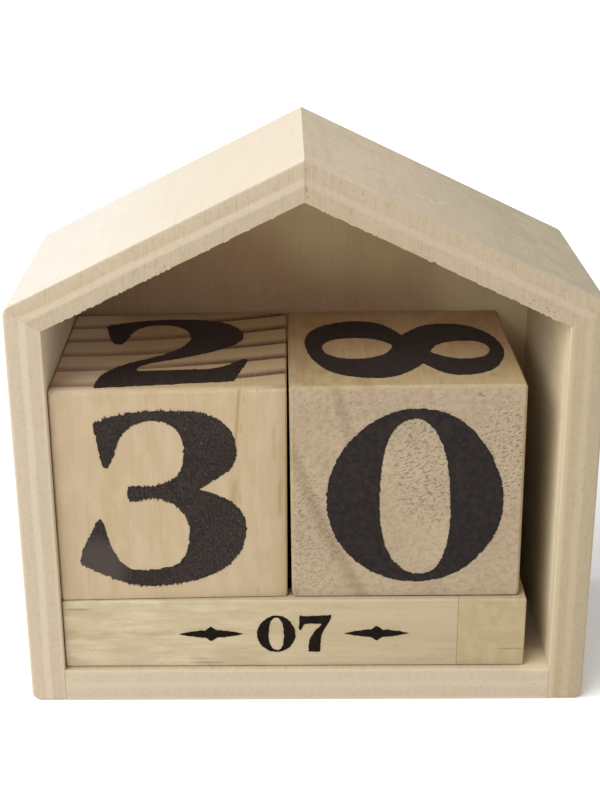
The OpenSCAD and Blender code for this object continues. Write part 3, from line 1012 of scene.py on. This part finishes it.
def tens_pine():
    pine = Pine("pine_tens", "tens_cube", ALONG_Z, 5.0)
    x, y, z = pine.axes(pine.mm)
    year = pine.years(pith=(-2, 178.3, 0), width=8.4, waver=1.6)
    late = year.step(0.55, 0.93) * year.step(1.0, 0.975)
    fine = pine.streaks(2.2, 0.05, 1)
    broad = pine.streaks(0.22, 0.012, 2, 2.0)
    saw_mark = pine.clouds((2.4, 0.06, 0.4), 8.0)
    pale = pine.clouds((0.35, 0.3, 0.14), 14.0, 3.0, 0.6)
    resin = pine.clouds((0.9, 0.5, 0.3), 12.0, 1.0).step(0.66, 0.76) * x.step(24, 34)
    wobble = pine.clouds((0.1, 0.1, 0.25), 8.0, 3.0) - 0.5

    def streak(at, foot, head, lean_by, width):
        from_line = abs(x - at - (z - foot) * lean_by + wobble)
        return from_line.step(width, 0) * z.step(foot, foot + 3) * z.step(head, head - 3)

    # Painted light and shade: on the top's left part, paler and pinker towards the back, where the roof's
    # shade falls.
    painted_light_in_shade = pine.layered(
        (199, 175, 149), (y.step(0, 24), (221, 202, 188)), (y.step(24, 42), (237, 220, 210)))
    wood = pine.layered(
        (187, 168, 140),
        (broad.step(0.35, 0.7) * 0.6, (178, 158, 126)),
        (fine.step(0.45, 0.75) * 0.35, (172, 151, 117)),
        (pale.step(0.48, 0.62) * 0.2, (204, 190, 164)),
        (pine.end * 0.8, pine.blend(x.step(18, 2), (184, 160, 126), painted_light_in_shade)),
        (late * (0.15 + pine.end * (0.45 + x.step(15, 35) * 0.35)), (96, 70, 54)),
        (saw_mark.step(0.5, 0.8) * pine.end * 0.25, (205, 186, 154)),
        *((streak(*line) * pine.side * strength, RESIN) for *line, strength in TENS_STREAKS),
        # Painted shade: the right edge darkened in the resin's tone, beside the gap to the right cube.
        (x.step(43.2, 45) * pine.side * 0.3, RESIN),
        (resin * pine.side * 0.35, RESIN))
    return pine.done(wood, fine, 0.06)


# %% [markdown]
# ## The right cube: end grain at the front
# Its fibres run from front to back. The front is sawn end grain, greyer than the rest and rough: the saw tore
# out small pits that lie in slanting rows, and two faint rings curve across it. The upper side turns browner
# towards the back, a painted shade where the roof shades it.

# %% Mix the units cube's pine
ROW_SLOPE = radians(28)
TORN_SPOTS = [  # middle, size and strength of the rough parts
    ((27, 0, 28), (10, 9, 17), 1), ((41, 0, 30), (7, 9, 17), 1), ((3, 0, 14), (12, 9, 20), 0.6),
    ((14, 0, 38), (12, 9, 8), 0.4),
]


def units_pine():
    pine = Pine("pine_units", "units_cube", ALONG_Y, 23.0)
    x, y, z = pine.axes(pine.mm)
    fine = pine.streaks(2.4, 0.08, 1)
    broad = pine.streaks(0.3, 0.03, 2, 2.0)
    stain = pine.clouds((0.3, 0.16, 0.3), 30.0, 4.0, 0.65)
    wood = pine.layered(
        (179, 160, 122),
        # Painted shade: browner towards the back, where the roof shades the top.
        (y.step(2, 30), (187, 157, 127)),
        (broad.step(0.45, 0.7) * 0.4, (172, 142, 100)),
        (stain.step(0.45, 0.7) * 0.5, (150, 124, 92)),
        (fine.step(0.4, 0.75) * 0.25, (148, 126, 88)))

    year = pine.years(pith=(159.5, 0, 83), width=11.8, waver=1.0)
    ring = year.step(0.0, 0.16) * year.step(0.36, 0.14) * (0.15 + (x + z * 0.2).step(22, 16))
    rows = pine.turned(pine.mm, (0, -ROW_SLOPE, 0))
    pit = pine.clouds((1.0, 0.5, 2.4), 25.0, 2.0, 0.65, rows)
    grit = pine.clouds((1.5, 1.0, 3.6), 26.0, 3.0, 0.65, rows)
    shade = pine.clouds((0.09, 0.05, 0.09), 27.0)
    relief = pine.clouds((0.8, 0.6, 1.0), 29.0, 3.0, 0.6)
    rough_parts = sum(pine.spot(middle, size) * strength for middle, size, strength in TORN_SPOTS)
    torn = 0.35 + rough_parts.step(0, 1) * 0.65
    pits = pit.step(0.56, 0.63) * torn
    knot = pine.spot((36, 0, 43), (0.6, 1, 0.4)) + pine.spot((36.6, 0, 42.7), (0.7, 1, 0.25))
    smudge = pine.spot((26.3, 0, 43), (1.3, 1, 1.6))
    front = pine.layered(
        (177, 161, 137),
        (shade.step(0.35, 0.65), (169, 152, 129)),
        (grit.step(0.45, 0.7) * torn * 0.6, (196, 181, 157)),
        (ring, 0.2),
        (relief.step(0.42, 0.68), 0.15),
        (pits * 0.6, (120, 102, 78)),
        (knot.step(0, 1) * 0.6, (112, 98, 66)),
        (smudge * 0.3, (150, 116, 84)))
    end_relief = (grit * 0.7 - pits * 0.7) * torn + relief
    return pine.done(pine.blend(pine.end, wood, front), fine * 0.3 * pine.side + end_relief * pine.end, 0.22)


# %% [markdown]
# ## The bars: straight grain along them
# The bars are thin strips from a planed board, so fine streaks run along them and their early wood is pale.
# The front bar has a few stains on its front, and each bar gets a little darker towards its right end, a
# painted shade where the light falls off.

# %% Mix the bars' pine
EARLY_WOOD, STREAK, LATE_WOOD = (189, 176, 149), (176, 159, 131), (156, 136, 104)
BAR_STAINS = [
    ((132, 110, 78), (29, 0, 0.9), (4.5, 2, 0.3), 0.45), ((132, 110, 78), (3, 0, 13.2), (3.5, 2, 0.4), 0.45),
    ((132, 110, 78), (27, 0, 1.9), (3, 2, 0.2), 0.45),
]


def bar_pine(name, node, seed, pith, width, late_share):
    pine = Pine(name, node, ALONG_X, seed)
    x = pine.axes(pine.mm)[0]
    year = pine.years(pith, width, waver=4.0)
    late = year.step(0.5, 0.95) * year.step(1.0, 0.96)
    fine = pine.streaks(2.6, 0.07, 1)
    broad = pine.streaks(0.35, 0.02, 2, 2.0)
    dash = pine.streaks(2.8, 0.35, 3, 1.0).step(0.66, 0.74)
    cloud = pine.clouds((0.03, 0.1, 0.1), seed + 4)
    pale = pine.clouds((0.1, 0.35, 0.42), seed + 5, 4.0, 0.65)
    wood = pine.layered(
        EARLY_WOOD,
        (broad.step(0.4, 0.7) * 0.6, STREAK),
        (cloud.step(0.45, 0.65) * 0.4, (176, 160, 130)),
        (pale.step(0.46, 0.62) * x.step(60, 20) * 0.6, (208, 197, 168)),
        (pale.step(0.5, 0.35) * 0.35, (172, 152, 118)),
        # Painted shade: a little darker towards the right end, where the light falls off.
        (x.step(45, 80), 0.06),
        (fine.step(0.45, 0.75) * 0.3, STREAK),
        (late * late_share, LATE_WOOD),
        *pine.patches(BAR_STAINS),
        (pine.end * 0.8, (160, 140, 108)),
        (dash * 0.3, (140, 116, 82)))
    return pine.done(wood, fine * 0.6, 0.06)


# %% [markdown]
# ## The block at the front bar's end
# It was glued on to make up the length. It comes from another, yellower board, and its grain stands upright
# at the seam.

# %% Mix the end block's pine, and a finish for each block
def end_block_pine():
    pine = Pine("pine_end", "front_bar_end_block", ALONG_X, 41.0)
    near_seam = pine.axes(pine.mm)[0].step(6, 1)
    mottle = pine.clouds((0.5, 0.3, 0.4), 42.0, 3.0)
    fine = pine.streaks(2.2, 0.12, 1)
    upright = pine.clouds((1.6, 0.3, 0.12), 43.0)
    wood = pine.layered(
        (181, 165, 136),
        (mottle.step(0.35, 0.65), (173, 158, 124)),
        (fine.step(0.45, 0.75) * 0.5, (164, 147, 110)),
        (upright.step(0.45, 0.65) * near_seam * 0.6, (176, 158, 108)),
        (pine.spot((11, 0, 3.8), (5, 1.5, 0.2)) * 0.45, (112, 98, 70)))  # a dark line along its foot
    return pine.done(wood, fine * 0.6, 0.06)


wood_finishes = {
    "tens_cube": tens_pine(),
    "units_cube": units_pine(),
    "front_month_bar": bar_pine("pine_front", "front_month_bar", 37.0, (0, 60, -40), 7.0, 0.12),
    "front_bar_end_block": end_block_pine(),
    "middle_month_bar": bar_pine("pine_middle", "middle_month_bar", 53.0, (0, 60, -30), 4.5, 0.4),
    "rear_month_bar": bar_pine("pine_rear", "rear_month_bar", 67.0, (0, 90, -40), 3.5, 0.4),
}
print("wood finishes:", len(wood_finishes))

# %% [markdown]
# ## Ink on bare wood
# The ink is a thin brown-black film with hardly any gloss. It lies thinner in some places, and here and there
# the tip of a fibre stayed bare. On the cubes' tops, where the ink lies in shade, a paler and cooler tone is
# painted on as a sheen.

# %% Mix the ink
INK_GREY, INK_PAINTED_SHEEN, INK_BROWN = (80, 71, 68), (64, 56, 62), (54, 43, 39)
BARE = 120, 108, 98
MONTH_INK = 17, 11, 6


def ink(name, tone, seed, worn, stretch, thin_ink_and_sheen=(), gloss=0.13):
    """Worn is how much of the film is thin. Thin ink and sheen are spots, each a tone, a middle, a size and a
    strength: thinner ink, and on the cubes' tops a painted sheen.
    """
    finish = Finish(name, 0.6, gloss)
    cloud = finish.clouds((0.06, 0.06, 0.06), seed)
    stain = finish.clouds((0.35, 0.35, 0.35), seed + 1, 3.0, 0.6)
    mottle = finish.clouds(stretch, seed + 2, 4.0, 0.75)
    speck = finish.clouds((3.0, 3.0, 2.2), seed + 3, 0.0)
    film = finish.layered(
        tone,
        (mottle.step(0.42, 0.62) * (0.6 + cloud.step(0.3, 0.7) * 0.4) * worn, INK_GREY),
        (stain.step(0.5, 0.68) * worn, INK_BROWN),
        *finish.patches(thin_ink_and_sheen),
        (speck.step(0.76, 0.82) * worn, BARE))
    return finish.done(film, mottle, 0.05)


# The cool spots on the cubes' tops are a painted sheen on ink that lies in shade.
ink_finishes = {
    "tens_numerals": ink("ink_tens", (31, 25, 23), 2.0, 0.6, (3.0, 3.0, 1.8), [
        (INK_GREY, (-41, -24, 30), (8, 2, 8), 0.7), (INK_PAINTED_SHEEN, (-30, 12, 67), (28, 28, 4), 0.75)]),
    "units_numerals": ink("ink_units", (30, 25, 24), 9.0, 0.2, (0.8, 0.6, 0.8), [
        (INK_PAINTED_SHEEN, (20, 6, 67), (40, 36, 4), 0.35)]),
}
for row, seed in (("front", 11.0), ("middle", 13.0), ("rear", 19.0)):
    ink_finishes[f"{row}_month_numbers"] = ink(
        f"ink_{row}", MONTH_INK, seed, 0.1, (0.8, 2.5, 2.5), gloss=0.06)
print("ink finishes:", len(ink_finishes))

# %% [markdown]
# ## Dress the pieces and let them ride
# Each piece takes its finish, replaces the plain node of the model, and rides on the body that the node
# belongs to, so it slides out of the case with it.

# %% Give each piece its finish, its body and its slot
finishes = {**board_finishes, **wood_finishes, **ink_finishes}
for node, piece in {**boards, **woods, **prints}.items():
    piece.data.materials.clear()
    piece.data.materials.append(finishes[node])
    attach(piece, frame["nodes"][node]["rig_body"])
    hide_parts(node)
print("pieces dressed:", len(finishes))

# %% [markdown]
# ## A white table
# The calendar stands on a plain white table. A pale surface under a soft light renders grey, so the table
# glows for the camera alone, from a little way off the calendar, and its shadow stays. The light that
# bounces off it is a little warm, as off paper.

# %% Set the table
def seen_by_camera(shader):
    """1 for rays from the camera, off gloss or through glass, and 0 for light that bounces."""
    camera_ray = shader.add("LightPath", output="Is Camera Ray")
    paths = camera_ray.socket.node.outputs
    glossy_ray, clear_ray = Wire(shader, paths["Is Glossy Ray"]), Wire(shader, paths["Is Transmission Ray"])
    return camera_ray.larger(glossy_ray).larger(clear_ray)


TABLE_SIZE = 6.0  # metres
TABLE_TONE = 238, 230, 217
GLOW_FROM = 100, 400  # mm from the middle, where the table starts to shine and where it is all white
WHITE, BLACK = (1, 1, 1, 1), (0, 0, 0, 1)
bpy.ops.object.select_all(action="DESELECT")
bpy.ops.mesh.primitive_plane_add(size=TABLE_SIZE)
table = bpy.context.object
table.name = "table"
table_finish = Finish("white_table", roughness=0.9, specular=0.0)
seen = seen_by_camera(table_finish)
glow = table_finish.length(table_finish.mm).step(*GLOW_FROM) * seen
table_finish.give("Base Color", table_finish.blend(seen, TABLE_TONE, WHITE))
table_finish.give("Emission Color", table_finish.blend(glow, BLACK, WHITE))
table_finish.give("Emission Strength", 1.0)
table.data.materials.append(table_finish.material)
print("on stage:", table.name)

# %% [markdown]
# ## One soft light in a bright room
# A large light stands high on the left and a little in front. The far side of the roof and the gap beside
# the cubes stay in a warm shade, lit by the room and by the wood itself, and by light that is painted into
# the right wall's and the back panel's colours. The room is white to the camera and less bright for
# everything that it lights.

# %% Light the room
ROOM_LIGHT = 0.53
world = bpy.data.worlds.new("studio")
bpy.context.scene.world = world
world.use_nodes = True
room = Shader(world.node_tree)
background = world.node_tree.nodes["Background"]
room.feed(background.inputs["Color"], WHITE)
room.feed(background.inputs["Strength"], ROOM_LIGHT + seen_by_camera(room) * (1 - ROOM_LIGHT))


def soft_light(name, towards, distance, size, power):
    """An area light, size wide and high in metres, that looks at the calendar with so many watts."""
    aim = Vector((0, 0, ridge_z / 2))
    place = aim + Vector(towards).normalized() * distance
    bpy.ops.object.select_all(action="DESELECT")
    bpy.ops.object.light_add(type="AREA", location=place)
    lamp = bpy.context.object
    lamp.name = name
    lamp.rotation_euler = (aim - place).to_track_quat("-Z", "Y").to_euler()
    lamp.data.shape = "RECTANGLE"
    lamp.data.size, lamp.data.size_y = size
    lamp.data.energy = power


soft_light("window", towards=(-0.62, -0.34, 0.71), distance=1.0, size=(1.3, 0.6), power=14.3)
print("room light:", ROOM_LIGHT)

# %% [markdown]
# ## The camera
# It looks down on the front from about thirty centimetres, close enough for the lines to converge. The lens
# is given in pixels of the picture, which makes its length and its shift simple shares of the picture's
# height.

# %% Place the camera
FRAME_W, FRAME_H = 600, 800
FOCAL_PIXELS = 1494.6
AXIS_X, AXIS_Y = 255, 405  # where the lens's axis meets the picture, in pixels
LENS_PLACE = Vector((-3.50 * MM, -286.27 * MM, 167.75 * MM))
TURN, TILT, ROLL = -0.0227, 0.3774, -0.0163  # radians

bpy.ops.object.select_all(action="DESELECT")
bpy.ops.object.camera_add(location=LENS_PLACE)
camera = bpy.context.object
bpy.context.scene.camera = camera
looking = Matrix.Rotation(-TURN, 3, "Z") @ Matrix.Rotation(radians(90) - TILT, 3, "X")
looking = looking @ Matrix.Rotation(ROLL, 3, "Z")
camera.rotation_euler = looking.to_euler()
camera.data.sensor_width = 36.0
camera.data.lens = FOCAL_PIXELS * camera.data.sensor_width / FRAME_H
camera.data.shift_x = (FRAME_W / 2 - AXIS_X) / FRAME_H
camera.data.shift_y = (AXIS_Y - FRAME_H / 2) / FRAME_H
camera.data.clip_start = 0.01
print(f"lens: {camera.data.lens:.1f} mm")

# %% [markdown]
# ## The view transform
# The render shows colours with the Standard view transform.

# %% Set the view transform
bpy.context.scene.view_settings.view_transform = "Standard"
